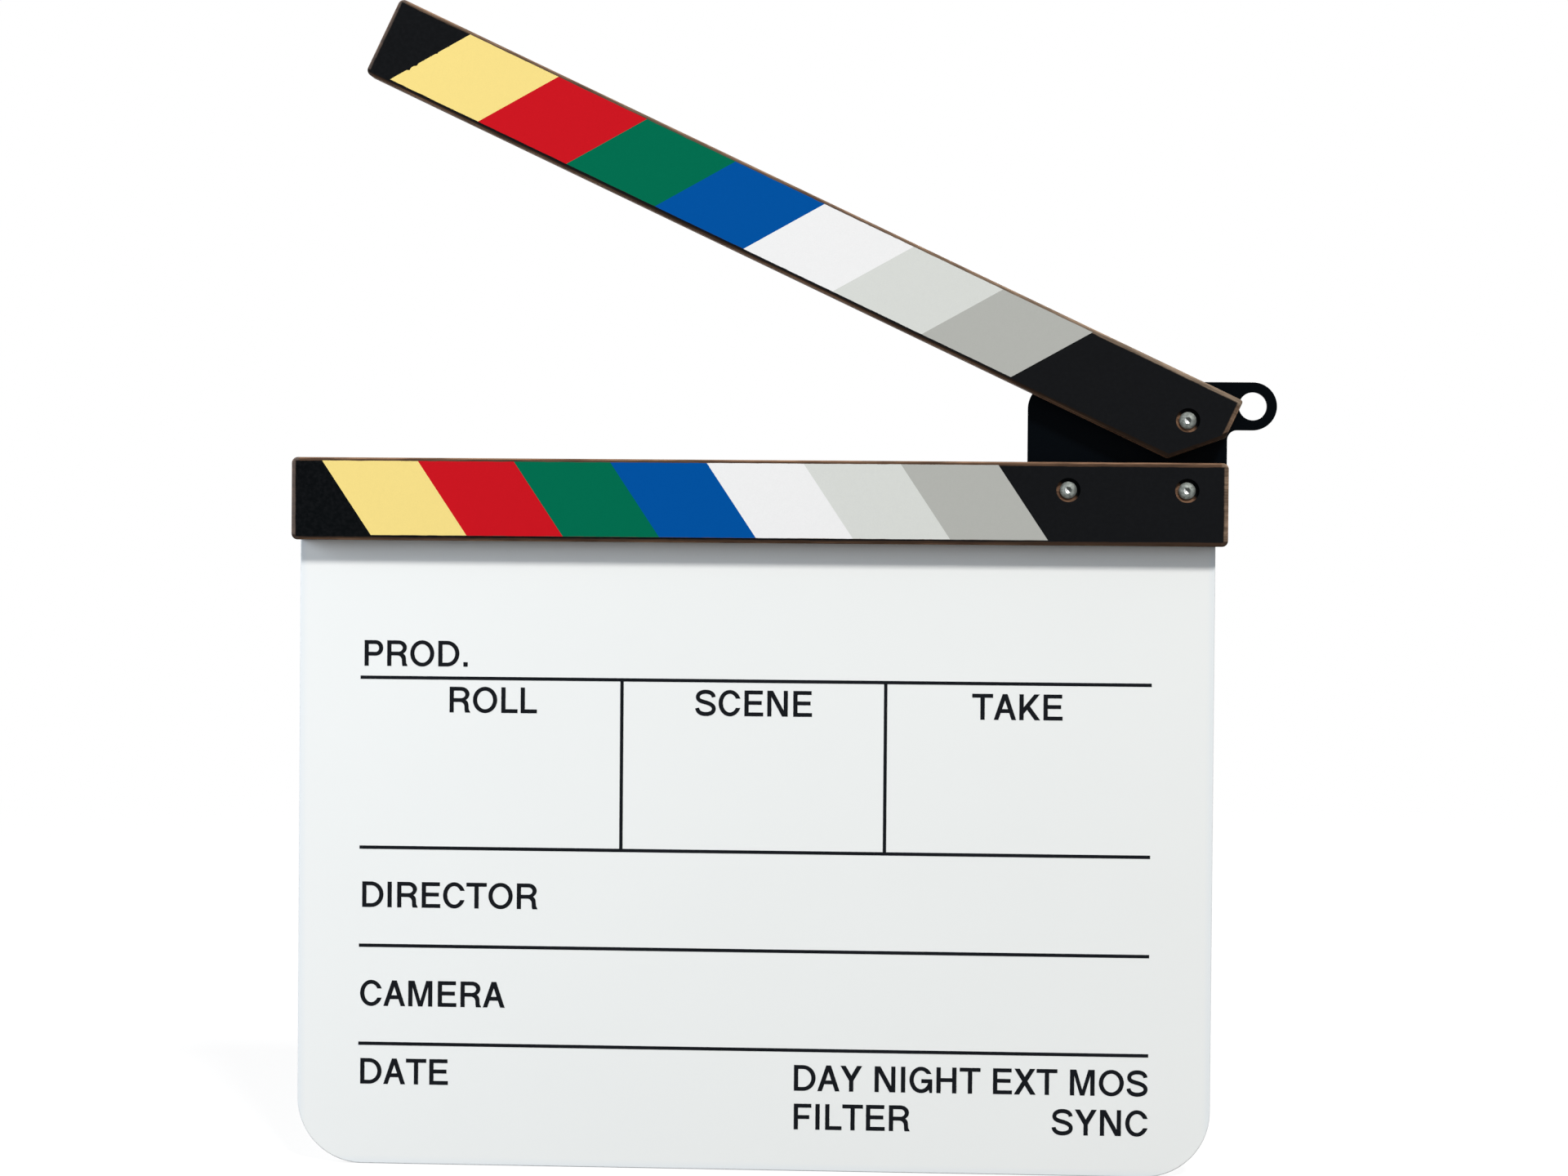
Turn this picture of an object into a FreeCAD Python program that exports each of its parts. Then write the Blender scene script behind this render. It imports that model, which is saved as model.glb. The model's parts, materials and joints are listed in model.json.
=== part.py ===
import FreeCAD, Part
import os

import Sketcher
from FreeCAD import Placement, Rotation, Vector

# A film clapperboard: a white writing board under two striped sticks, the upper one hinged.
# X runs along the board towards the hinge, Y from the front to the back and Z up.
# The origin is the middle of the board's bottom edge. Lengths are in millimetres, angles in degrees.

PATCH_COLOURS = ["yellow", "red", "green", "blue", "white", "light_grey", "mid_grey"]
BOARD_SCREW_COUNT = 4
HINGE_SCREW_COUNT = 2
HEX_SIDES = 6
FULL_TURN = 360
TOLERANCE = 1e-4

# How a sketch numbers its own origin and the points of a line or an arc
SKETCH_ORIGIN = (-1, 1)
START = 1
END = 2
CENTRE = 3

BOARD_SIZES = {
    "board_width": 300.0,
    "board_thickness": 3.0,
    "board_drop": 205.75,
    "board_corner_radius": 21.5,
    "board_edge_round": 0.4,
    "board_top_setback": 2.0,
    "notch_gap": 0.5,
}

FORM_SIZES = {
    "rule_width": 1.1,
    "rule_thickness": 0.08,
    "rule_inset": 20.2,
    "form_head": 45.2,
    "form_foot": 39.7,
    "form_row": 32.4,
}

STICK_SIZES = {
    "stick_height": 27.0,
    "stick_thickness": 9.0,
    "stick_edge_round": 0.8,
    "stick_corner_ease": 1.2,
    "heel_corner_ease": 0.2,
    "overhang_left": 1.4,
    "overhang_right": 3.4,
    "upper_setback": 1.6,
    "closing_gap": 0.05,
    "pivot_rise": 0.15,
    "heel_clearance": 0.4,
    "open_angle": 25.3,
}

PATCH_SIZES = {
    "patch_thickness": 0.12,
    "patch_top_margin": 0.25,
    "lower_patch_start": 18.4,
    "lower_patch_tail": 65.85,
    "lower_patch_angle": 33.7,
    "lower_patch_foot_margin": 0.85,
    "upper_patch_start": 16.9,
    "upper_patch_tail": 62.15,
    "upper_patch_angle": 35.6,
    "upper_patch_foot_margin": 0.7,
}

PLATE_SIZES = {
    "plate_thickness": 2.0,
    "plate_side_margin": 13.15,
    "plate_foot_margin": 7.8,
    "plate_top_setback": 0.7,
    "plate_corner_radius": 9.0,
    "plate_foot_radius": 2.0,
    "plate_edge_round": 0.3,
    "ear_hole_diameter": 9.1,
    "ear_wall": 3.25,
    "ear_reach": 8.2,
    "ear_fillet": 3.2,
}

HINGE_FASTENER_SIZES = {
    "hinge_screw_spacing": 38.2,
    "hinge_screw_drop": 9.0,
    "screw_diameter": 3.0,
    "screw_head_flange": 1.25,
    "screw_rim_height": 0.65,
    "screw_crown_height": 1.0,
    "screw_tip_chamfer": 0.4,
    "screw_tail": 1.0,
    "socket_width": 2.0,
    "socket_depth": 1.0,
    "socket_point_angle": 24.0,
    "counterbore_clearance": 1.15,
    "screw_sink": 0.35,
    "running_clearance": 0.05,
    "fixed_clearance": 0.1,
    "washer_rim": 2.0,
    "washer_thickness": 0.5,
    "glide_washer_rim": 4.5,
    "glide_washer_thickness": 0.5,
    "nut_wall": 1.25,
    "nut_height": 2.4,
    "nut_chamfer_angle": 30.0,
    "lock_hex_height": 2.8,
    "lock_collar_height": 1.2,
    "lock_collar_wall": 0.4,
    "lock_collar_step": 0.2,
    "lock_insert_height": 1.0,
}

BOARD_SCREW_SIZES = {
    "board_screw_diameter": 3.0,
    "board_screw_head_flange": 1.3,
    "board_screw_rim_height": 0.8,
    "board_screw_crown_radius": 1.1,
    "board_screw_grip": 6.0,
    "board_screw_point": 2.0,
    "board_screw_end_margin": 18.0,
    "cross_span": 2.8,
    "cross_width": 0.8,
    "cross_depth": 1.0,
}

# Places that follow from the sizes above, each written once
PLACES = {
    "stick_left": "-Size.board_width / 2 - Size.overhang_left",
    "stick_right": "Size.board_width / 2 + Size.overhang_right",
    "stick_length": "Size.board_width + Size.overhang_left + Size.overhang_right",
    "upper_length": "stick_length - Size.upper_setback",
    "stick_bottom": "Size.board_drop",
    "stick_top": "Size.board_drop + Size.stick_height",
    "stick_half": "Size.stick_height / 2",
    "stick_back": "-Size.board_thickness / 2",
    "stick_corner_radius": "Size.stick_edge_round + Size.stick_corner_ease",
    "heel_corner_radius": "Size.stick_edge_round + Size.heel_corner_ease",
    "pivot_drop": "stick_half + Size.pivot_rise",
    "pivot_head": "stick_half - Size.pivot_rise",
    "pivot_inset": "pivot_drop + Size.closing_gap - Size.heel_clearance",
    "pivot_x": "stick_right - pivot_inset",
    "pivot_z": "stick_top + Size.closing_gap + pivot_drop",
    "upper_back": "stick_back - Size.glide_washer_thickness",
    "plate_back": "stick_back + Size.plate_thickness",
    "plate_left": "pivot_x - Size.hinge_screw_spacing - Size.plate_side_margin",
    "plate_top": "pivot_z + stick_half - Size.plate_top_setback",
    "hinge_screw_z": "stick_top - Size.hinge_screw_drop",
    "plate_foot": "hinge_screw_z - Size.plate_foot_margin",
    "ear_radius": "Size.ear_hole_diameter / 2 + Size.ear_wall",
    "ear_x": "stick_right + Size.ear_reach",
    "ear_z": "plate_top - ear_radius",
    "ear_foot": "ear_z - ear_radius",
    "board_top": "stick_top - Size.board_top_setback",
    "notch_left": "plate_left - Size.notch_gap",
    "notch_foot": "plate_foot - Size.notch_gap",
    "board_screw_z": "stick_bottom + stick_half",
    "board_screw_first": "-Size.board_width / 2 + Size.board_screw_end_margin",
    "board_screw_last": "plate_left - Size.board_screw_end_margin",
    "flat_half": "stick_half - Size.stick_edge_round",
    "patch_rise": "flat_half - Size.patch_top_margin",
    "lower_patch_drop": "flat_half - Size.lower_patch_foot_margin",
    "upper_patch_drop": "flat_half - Size.upper_patch_foot_margin",
    "lower_band": "stick_length - Size.lower_patch_start - Size.lower_patch_tail",
    "upper_band": "upper_length - Size.upper_patch_start - Size.upper_patch_tail",
    "rule_length": "Size.board_width - 2 * Size.rule_inset",
    "form_column": "rule_length / 3",
    "rule_top": "Size.board_drop - Size.form_head",
    "rule_low": "Size.form_foot",
    "rule_lower_middle": "Size.form_foot + Size.form_row",
    "rule_upper_middle": "Size.form_foot + 2 * Size.form_row",
    "screw_hole": "Size.screw_diameter + 2 * Size.fixed_clearance",
    "pivot_hole": "Size.screw_diameter + 2 * Size.running_clearance",
    "screw_head_radius": "Size.screw_diameter / 2 + Size.screw_head_flange",
    "screw_head_height": "Size.screw_rim_height + Size.screw_crown_height",
    "screw_crown_sphere": "(screw_head_radius ^ 2 + Size.screw_crown_height ^ 2)"
                          " / (2 * Size.screw_crown_height)",
    "counterbore_diameter": "2 * (screw_head_radius + Size.counterbore_clearance)",
    "counterbore_depth": "screw_head_height + Size.screw_sink",
    "grip_depth": "Size.stick_thickness - counterbore_depth",
    "washer_radius": "Size.screw_diameter / 2 + Size.washer_rim",
    "glide_washer_radius": "Size.screw_diameter / 2 + Size.glide_washer_rim",
    "nut_width": "Size.screw_diameter + 2 * Size.nut_wall",
    "collar_radius": "nut_width / 2 - Size.lock_collar_step",
    "insert_radius": "collar_radius - Size.lock_collar_wall",
    "hinge_stack": "grip_depth + Size.plate_thickness + Size.washer_thickness + Size.nut_height",
    "lock_nut_height": "Size.lock_hex_height + Size.lock_collar_height",
    "pivot_stack": "grip_depth + Size.glide_washer_thickness + Size.plate_thickness"
                   " + Size.washer_thickness + lock_nut_height",
    "board_screw_hole": "Size.board_screw_diameter + 2 * Size.fixed_clearance",
    "board_screw_head_radius": "Size.board_screw_diameter / 2 + Size.board_screw_head_flange",
    "board_screw_head_height": "Size.board_screw_rim_height + Size.board_screw_crown_radius",
}

doc = FreeCAD.newDocument("Clapperboard")
pieces = []


# Sheets of sizes and places

def fill_sheet(name, cells):
    sheet = doc.addObject("Spreadsheet::Sheet", name)
    for row, (alias, content) in enumerate(cells.items(), start=1):
        sheet.set("A%d" % row, alias)
        sheet.setAlias("B%d" % row, alias)
        sheet.set("B%d" % row, content)
    doc.recompute()
    return sheet


groups = [BOARD_SIZES, FORM_SIZES, STICK_SIZES, PATCH_SIZES, PLATE_SIZES]
groups += [HINGE_FASTENER_SIZES, BOARD_SCREW_SIZES]
size_sheet = fill_sheet("Size", {key: str(value) for group in groups for key, value in group.items()})
fill_sheet("Place", {key: "=" + formula for key, formula in PLACES.items()})


def value_of(expression):
    return float(size_sheet.evalExpression(expression))


# Helpers for bodies, sketches and features

def keep(piece):
    pieces.append(piece)
    return piece


def new_body(label):
    return doc.addObject("PartDesign::Body", label)


def origin_plane(body, role):
    return next(plane for plane in body.Origin.OriginFeatures if plane.Role == role)


def new_sketch(body, suffix, role, offset=None):
    sketch = body.newObject("Sketcher::SketchObject", body.Name + "_" + suffix)
    sketch.AttachmentSupport = [(origin_plane(body, role), "")]
    sketch.MapMode = "FlatFace"
    if offset:
        sketch.setExpression("AttachmentOffset.Base.z", offset)
    return sketch


def drive(sketch, kind, expression, *geometry):
    """Add a constraint of this kind whose value follows the expression."""
    constraint = Sketcher.Constraint(kind, *geometry, value_of(expression))
    index = sketch.addConstraint(constraint)
    name = "%s_%d" % (kind, index)
    sketch.renameConstraint(index, name)
    sketch.setExpression("Constraints." + name, expression)


def hold_point(sketch, geometry, end, across, up):
    drive(sketch, "DistanceX", across, *SKETCH_ORIGIN, geometry, end)
    drive(sketch, "DistanceY", up, *SKETCH_ORIGIN, geometry, end)


def join(sketch, first, first_end, second, second_end):
    sketch.addConstraint(Sketcher.Constraint("Coincident", first, first_end, second, second_end))


def add_polygon(sketch, corners):
    points = [Vector(value_of(across), value_of(up), 0) for across, up in corners]
    count = len(points)
    lines = [sketch.addGeometry(Part.LineSegment(points[i], points[(i + 1) % count])) for i in range(count)]
    for i in range(count):
        join(sketch, lines[i], END, lines[(i + 1) % count], START)
    for line, (across, up) in zip(lines, corners):
        hold_point(sketch, line, START, across, up)


def add_chain_with_arc(sketch, corners, tip):
    """Draw lines through the corners, closed by an anticlockwise arc through the tip."""
    points = [Vector(value_of(across), value_of(up), 0) for across, up in corners]
    lines = [sketch.addGeometry(Part.LineSegment(a, b)) for a, b in zip(points, points[1:])]
    for first, second in zip(lines, lines[1:]):
        join(sketch, first, END, second, START)
    for line, (across, up) in zip(lines, corners):
        hold_point(sketch, line, START, across, up)
    hold_point(sketch, lines[-1], END, *corners[-1])
    middle = Vector(value_of(tip[0]), value_of(tip[1]), 0)
    arc = sketch.addGeometry(Part.Arc(points[-1], middle, points[0]))
    join(sketch, arc, START, lines[-1], END)
    join(sketch, arc, END, lines[0], START)
    return arc


def add_circle(sketch, across, up, diameter):
    centre = Vector(value_of(across), value_of(up), 0)
    circle = Part.Circle(centre, Vector(0, 0, 1), value_of(diameter) / 2)
    index = sketch.addGeometry(circle)
    hold_point(sketch, index, CENTRE, across, up)
    drive(sketch, "Diameter", diameter, index)


def add_hexagon(sketch, width):
    turns = [str(FULL_TURN / HEX_SIDES * i) for i in range(HEX_SIDES)]
    corner = "%s / sqrt(3)" % width
    corners = [("%s * cos(%s)" % (corner, turn), "%s * sin(%s)" % (corner, turn)) for turn in turns]
    add_polygon(sketch, corners)


def pad(body, sketch, length, midplane=False, backwards=False):
    feature = body.newObject("PartDesign::Pad", sketch.Name + "_pad")
    feature.Profile = (sketch, [""])
    feature.Midplane = midplane
    feature.Reversed = backwards
    feature.setExpression("Length", length)
    doc.recompute()
    return feature


def checked_cut(body, feature, before):
    doc.recompute()
    if feature.Shape.Volume >= before:
        raise RuntimeError("%s removed nothing from %s" % (feature.Name, body.Label))
    return feature


def pocket(body, sketch, depth=None, from_back=False):
    """Cut a blind pocket of the given depth, or right through when no depth is given."""
    before = body.Shape.Volume
    feature = body.newObject("PartDesign::Pocket", sketch.Name + "_pocket")
    feature.Profile = (sketch, [""])
    feature.Reversed = from_back
    if depth:
        feature.setExpression("Length", depth)
    else:
        feature.Type = "ThroughAll"
        feature.Midplane = True
    return checked_cut(body, feature, before)


def revolve(body, sketch):
    feature = body.newObject("PartDesign::Revolution", sketch.Name + "_turned")
    feature.Profile = (sketch, [""])
    feature.ReferenceAxis = (sketch, ["V_Axis"])
    feature.Angle = FULL_TURN
    doc.recompute()
    return feature


def groove(body, sketch):
    before = body.Shape.Volume
    feature = body.newObject("PartDesign::Groove", sketch.Name + "_groove")
    feature.Profile = (sketch, [""])
    feature.ReferenceAxis = (sketch, ["V_Axis"])
    feature.Angle = FULL_TURN
    return checked_cut(body, feature, before)


def edge_names(feature, wanted):
    return ["Edge%d" % (i + 1) for i, edge in enumerate(feature.Shape.Edges) if wanted(edge)]


def round_edges(body, radius, wanted, suffix):
    base = body.Tip
    feature = body.newObject("PartDesign::Fillet", body.Name + "_" + suffix)
    feature.Base = (base, edge_names(base, wanted))
    feature.setExpression("Radius", radius)
    doc.recompute()
    return feature


def runs_front_to_back(edge):
    return edge.BoundBox.XLength + edge.BoundBox.ZLength < TOLERANCE


def lies_on_a_face(edge):
    return edge.BoundBox.YLength < TOLERANCE


def corner_at(across, up):
    """Match the front-to-back edge through this point of the outline."""
    x, z = value_of(across), value_of(up)

    def wanted(edge):
        start = edge.Vertexes[0].Point
        return runs_front_to_back(edge) and abs(start.x - x) + abs(start.z - z) < TOLERANCE
    return wanted


def put(piece, x, y, z, axis=None, turn=None):
    """Place a piece at these expressions, turned about an axis by an expression in degrees."""
    if axis:
        piece.Placement = Placement(Vector(), Rotation(axis, 1))
        piece.setExpression("Placement.Rotation.Angle", turn)
    piece.setExpression("Placement.Base.x", x)
    piece.setExpression("Placement.Base.y", y)
    piece.setExpression("Placement.Base.z", z)
    doc.recompute()
    return piece


def put_facing_front(piece, x, y, z):
    return put(piece, x, y, z, Vector(1, 0, 0), "90")


def put_facing_back(piece, x, y, z):
    return put(piece, x, y, z, Vector(1, 0, 0), "-90")


def group(label, members):
    compound = doc.addObject("Part::Compound", label)
    compound.Links = members
    return keep(compound)


def ring(label, outer_radius, inner_radius, height):
    """A plain ring along its own Z."""
    outer = doc.addObject("Part::Cylinder", label + "_outside")
    inner = doc.addObject("Part::Cylinder", label + "_bore")
    for cylinder, radius in ((outer, outer_radius), (inner, inner_radius)):
        cylinder.setExpression("Radius", radius)
        cylinder.setExpression("Height", height)
    cut = doc.addObject("Part::Cut", label)
    cut.Base = outer
    cut.Tool = inner
    return cut


# Where the repeated fasteners sit

def hinge_screw_inset(index):
    return "(Place.pivot_inset + %d * Size.hinge_screw_spacing)" % index


def hinge_screw_x(index):
    return "Place.stick_right - " + hinge_screw_inset(index)


def board_screw_x(index):
    share = index / (BOARD_SCREW_COUNT - 1)
    return "Place.board_screw_first + %r * (Place.board_screw_last - Place.board_screw_first)" % share


# Writing board, notched behind the hinge end of the lower stick

def make_board():
    body = new_body("slate_board")
    outline = new_sketch(body, "outline", "XZ_Plane")
    left = "-Size.board_width / 2"
    right = "Size.board_width / 2"
    add_polygon(outline, [
        (left, "0"),
        (right, "0"),
        (right, "Place.notch_foot"),
        ("Place.notch_left", "Place.notch_foot"),
        ("Place.notch_left", "Place.board_top"),
        (left, "Place.board_top"),
    ])
    pad(body, outline, "Size.board_thickness", midplane=True)
    left_corner = corner_at(left, "0")
    right_corner = corner_at(right, "0")
    round_edges(body, "Size.board_corner_radius", lambda e: left_corner(e) or right_corner(e), "corners")
    round_edges(body, "Size.board_edge_round", lies_on_a_face, "edges")
    holes = new_sketch(body, "screw_holes", "XZ_Plane")
    for index in range(BOARD_SCREW_COUNT):
        add_circle(holes, board_screw_x(index), "Place.board_screw_z", "Place.board_screw_hole")
    pocket(body, holes)
    return keep(body)


# Ruled lines printed on the board

def make_rules():
    bars = []
    middle = "Size.rule_width / 2"

    def bar(name, length, height, x, z):
        box = doc.addObject("Part::Box", name)
        box.setExpression("Length", length)
        box.setExpression("Width", "Size.rule_thickness")
        box.setExpression("Height", height)
        put(box, x, "Place.stick_back - Size.rule_thickness", z)
        bars.append(box)

    left = "-Place.rule_length / 2"
    for level in ("rule_top", "rule_upper_middle", "rule_lower_middle", "rule_low"):
        bar(level, "Place.rule_length", "Size.rule_width", left, "Place.%s - %s" % (level, middle))
    tall_row = "Place.rule_top - Place.rule_upper_middle"
    for name, side in (("rule_left_divider", "-"), ("rule_right_divider", "")):
        x = "%sPlace.form_column / 2 - %s" % (side, middle)
        bar(name, "Size.rule_width", tall_row, x, "Place.rule_upper_middle")
    rules = doc.addObject("Part::MultiFuse", "field_rules")
    rules.Shapes = bars
    return keep(rules)


# Sticks, with their long edges rounded over and their screws sunk from the front

def round_over_faces(body):
    round_edges(body, "Size.stick_edge_round", lies_on_a_face, "edges")


def sink_screws(body, places, hole):
    holes = new_sketch(body, "holes", "XZ_Plane")
    counterbores = new_sketch(body, "counterbores", "XZ_Plane", "Size.stick_thickness")
    for across, up in places:
        add_circle(holes, across, up, hole)
        add_circle(counterbores, across, up, "Place.counterbore_diameter")
    pocket(body, holes)
    pocket(body, counterbores, "Place.counterbore_depth")


def make_lower_stick():
    body = new_body("lower_stick")
    outline = new_sketch(body, "outline", "XZ_Plane")
    add_polygon(outline, [
        ("0", "0"),
        ("Place.stick_length", "0"),
        ("Place.stick_length", "Size.stick_height"),
        ("0", "Size.stick_height"),
    ])
    pad(body, outline, "Size.stick_thickness")
    round_edges(body, "Place.stick_corner_radius", runs_front_to_back, "corners")
    round_over_faces(body)
    up = "Size.stick_height - Size.hinge_screw_drop"
    places = [("Place.stick_length - " + hinge_screw_inset(i), up) for i in range(HINGE_SCREW_COUNT)]
    sink_screws(body, places, "Place.screw_hole")
    pilots = new_sketch(body, "pilot_holes", "XZ_Plane")
    for index in range(BOARD_SCREW_COUNT):
        across = board_screw_x(index) + " - Place.stick_left"
        add_circle(pilots, across, "Place.stick_half", "Place.board_screw_hole")
    pocket(body, pilots, "Size.board_screw_grip + Size.fixed_clearance", from_back=True)
    put(body, "Place.stick_left", "Place.stick_back", "Place.stick_bottom")
    return keep(body)


def put_on_pivot(piece):
    """Upper pieces are drawn about the pivot with the sticks closed, then opened."""
    axis = Vector(0, 1, 0)
    return put(piece, "Place.pivot_x", "Place.upper_back", "Place.pivot_z", axis, "Size.open_angle")


def make_upper_stick():
    body = new_body("upper_stick")
    outline = new_sketch(body, "outline", "XZ_Plane")
    free_end = "Place.pivot_inset - Place.upper_length"
    # the heel is cut away at 45 degrees up to the pivot's level, so that it clears the lower stick
    add_polygon(outline, [
        (free_end, "-Place.pivot_drop"),
        ("Place.pivot_inset - Place.pivot_drop", "-Place.pivot_drop"),
        ("Place.pivot_inset", "0"),
        ("Place.pivot_inset", "Place.pivot_head"),
        (free_end, "Place.pivot_head"),
    ])
    pad(body, outline, "Size.stick_thickness")
    halfway = value_of(free_end) / 2

    def at_free_end(edge):
        return runs_front_to_back(edge) and edge.BoundBox.XMax < halfway

    def at_heel(edge):
        return runs_front_to_back(edge) and edge.BoundBox.XMin > halfway

    round_edges(body, "Place.stick_corner_radius", at_free_end, "corners")
    round_edges(body, "Place.heel_corner_radius", at_heel, "heel_corners")
    round_over_faces(body)
    sink_screws(body, [("0", "0")], "Place.pivot_hole")
    return keep(put_on_pivot(body))


# Slanted colour patches on the flat front of each stick

def make_patch(label, start, pitch, index, lean, middle, drop):
    """One patch between two slanted boundaries, which lean from the stick's mid-height."""
    body = new_body(label)
    outline = new_sketch(body, "outline", "XZ_Plane", "Size.stick_thickness")
    bottom_run = "%s * tan(%s)" % (drop, lean)
    top_run = "Place.patch_rise * tan(%s)" % lean
    near = "%s + %d * %s" % (start, index, pitch)
    far = "%s + %d * %s" % (start, index + 1, pitch)
    bottom = "%s - %s" % (middle, drop)
    top = "%s + Place.patch_rise" % middle
    add_polygon(outline, [
        ("%s - %s" % (near, bottom_run), bottom),
        ("%s - %s" % (far, bottom_run), bottom),
        ("%s + %s" % (far, top_run), top),
        ("%s + %s" % (near, top_run), top),
    ])
    pad(body, outline, "Size.patch_thickness")
    return body


def make_patches():
    count = len(PATCH_COLOURS)
    lower_pitch = "Place.lower_band / %d" % count
    upper_pitch = "Place.upper_band / %d" % count
    upper_start = "Place.pivot_inset - Place.upper_length + Size.upper_patch_start"
    for index, colour in enumerate(PATCH_COLOURS):
        lower = make_patch("lower_patch_" + colour, "Size.lower_patch_start", lower_pitch, index,
                           "-Size.lower_patch_angle", "Place.stick_half", "Place.lower_patch_drop")
        keep(put(lower, "Place.stick_left", "Place.stick_back", "Place.stick_bottom"))
    for index, colour in enumerate(PATCH_COLOURS):
        upper = make_patch("upper_patch_" + colour, upper_start, upper_pitch, index,
                           "Size.upper_patch_angle", "-Size.pivot_rise", "Place.upper_patch_drop")
        keep(put_on_pivot(upper))


# Hinge plate behind the sticks, with a round-ended ear for a lanyard

def make_hinge_plate():
    body = new_body("hinge_plate")
    outline = new_sketch(body, "outline", "XZ_Plane")
    corners = [
        ("Place.ear_x", "Place.plate_top"),
        ("Place.plate_left", "Place.plate_top"),
        ("Place.plate_left", "Place.plate_foot"),
        ("Place.stick_right", "Place.plate_foot"),
        ("Place.stick_right", "Place.ear_foot"),
        ("Place.ear_x", "Place.ear_foot"),
    ]
    tip = ("Place.ear_x + Place.ear_radius", "Place.ear_z")
    ear = add_chain_with_arc(outline, corners, tip)
    drive(outline, "DistanceX", "Place.ear_x", *SKETCH_ORIGIN, ear, CENTRE)
    # the plate's front lies on the lower stick's back
    pad(body, outline, "Size.plate_thickness", backwards=True)
    top_left = corner_at("Place.plate_left", "Place.plate_top")
    round_edges(body, "Size.plate_corner_radius", top_left, "top_corner")
    ear_root = corner_at("Place.stick_right", "Place.ear_foot")
    round_edges(body, "Size.ear_fillet", ear_root, "ear_root")
    left_foot = corner_at("Place.plate_left", "Place.plate_foot")
    right_foot = corner_at("Place.stick_right", "Place.plate_foot")
    round_edges(body, "Size.plate_foot_radius", lambda e: left_foot(e) or right_foot(e), "foot_corners")
    round_edges(body, "Size.plate_edge_round", lies_on_a_face, "edges")
    holes = new_sketch(body, "holes", "XZ_Plane")
    add_circle(holes, "Place.ear_x", "Place.ear_z", "Size.ear_hole_diameter")
    add_circle(holes, "Place.pivot_x", "Place.pivot_z", "Place.screw_hole")
    for index in range(HINGE_SCREW_COUNT):
        add_circle(holes, hinge_screw_x(index), "Place.hinge_screw_z", "Place.screw_hole")
    pocket(body, holes)
    put(body, "0", "Place.stick_back", "0")
    return keep(body)


# Button-head machine screws with a domed head, whose underside is at their own origin

def make_machine_screw(label, shank):
    body = new_body(label)
    profile = new_sketch(body, "profile", "XZ_Plane")
    radius = "Size.screw_diameter / 2"
    head = "Place.screw_head_radius"
    crown = "Place.screw_head_height"
    sphere = "Place.screw_crown_sphere"
    corners = [
        ("0", crown),
        ("0", "-(%s)" % shank),
        (radius + " - Size.screw_tip_chamfer", "-(%s)" % shank),
        (radius, "Size.screw_tip_chamfer - (%s)" % shank),
        (radius, "0"),
        (head, "0"),
        (head, "Size.screw_rim_height"),
    ]
    tip = (head + " / 2", "%s - %s + sqrt(%s ^ 2 - %s ^ 2 / 4)" % (crown, sphere, sphere, head))
    dome = add_chain_with_arc(profile, corners, tip)
    drive(profile, "DistanceY", "%s - %s" % (crown, sphere), *SKETCH_ORIGIN, dome, CENTRE)
    revolve(body, profile)
    socket = new_sketch(body, "socket", "XY_Plane", crown)
    add_hexagon(socket, "Size.socket_width")
    pocket(body, socket, "Size.socket_depth")
    # the socket's floor is a shallow cone, as a drill leaves it
    point = new_sketch(body, "socket_point", "XZ_Plane")
    floor = "%s - Size.socket_depth" % crown
    side = "Size.socket_width / 2"
    add_polygon(point, [
        ("0", floor),
        ("0", "%s - %s * tan(Size.socket_point_angle)" % (floor, side)),
        (side, floor),
    ])
    groove(body, point)
    return body


# Hex nuts, with the seat at their own origin and the outer corners chamfered

def make_nut(label, hex_height, collar=False):
    body = new_body(label)
    hexagon = new_sketch(body, "hexagon", "XY_Plane")
    add_hexagon(hexagon, "Place.nut_width")
    pad(body, hexagon, hex_height)
    chamfer = new_sketch(body, "chamfer", "XZ_Plane")
    flat = "Place.nut_width / 2"
    outside = "Place.nut_width"
    add_polygon(chamfer, [
        (flat, hex_height),
        (outside, hex_height),
        (outside, "%s - %s * tan(Size.nut_chamfer_angle)" % (hex_height, flat)),
    ])
    groove(body, chamfer)
    if collar:
        band = new_sketch(body, "collar", "XY_Plane", hex_height)
        add_circle(band, "0", "0", "2 * Place.collar_radius")
        pad(body, band, "Size.lock_collar_height")
        seat = new_sketch(body, "insert_seat", "XY_Plane", "Place.lock_nut_height")
        add_circle(seat, "0", "0", "2 * Place.insert_radius")
        pocket(body, seat, "Size.lock_insert_height")
    bore = new_sketch(body, "bore", "XY_Plane")
    add_circle(bore, "0", "0", "Place.pivot_hole")
    pocket(body, bore)
    return body


def make_washer(label, radius, thickness):
    return ring(label, radius, "Place.screw_hole / 2", thickness)


# The hinge's hardware: one pivot through the upper stick and two screws through the lower one

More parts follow.
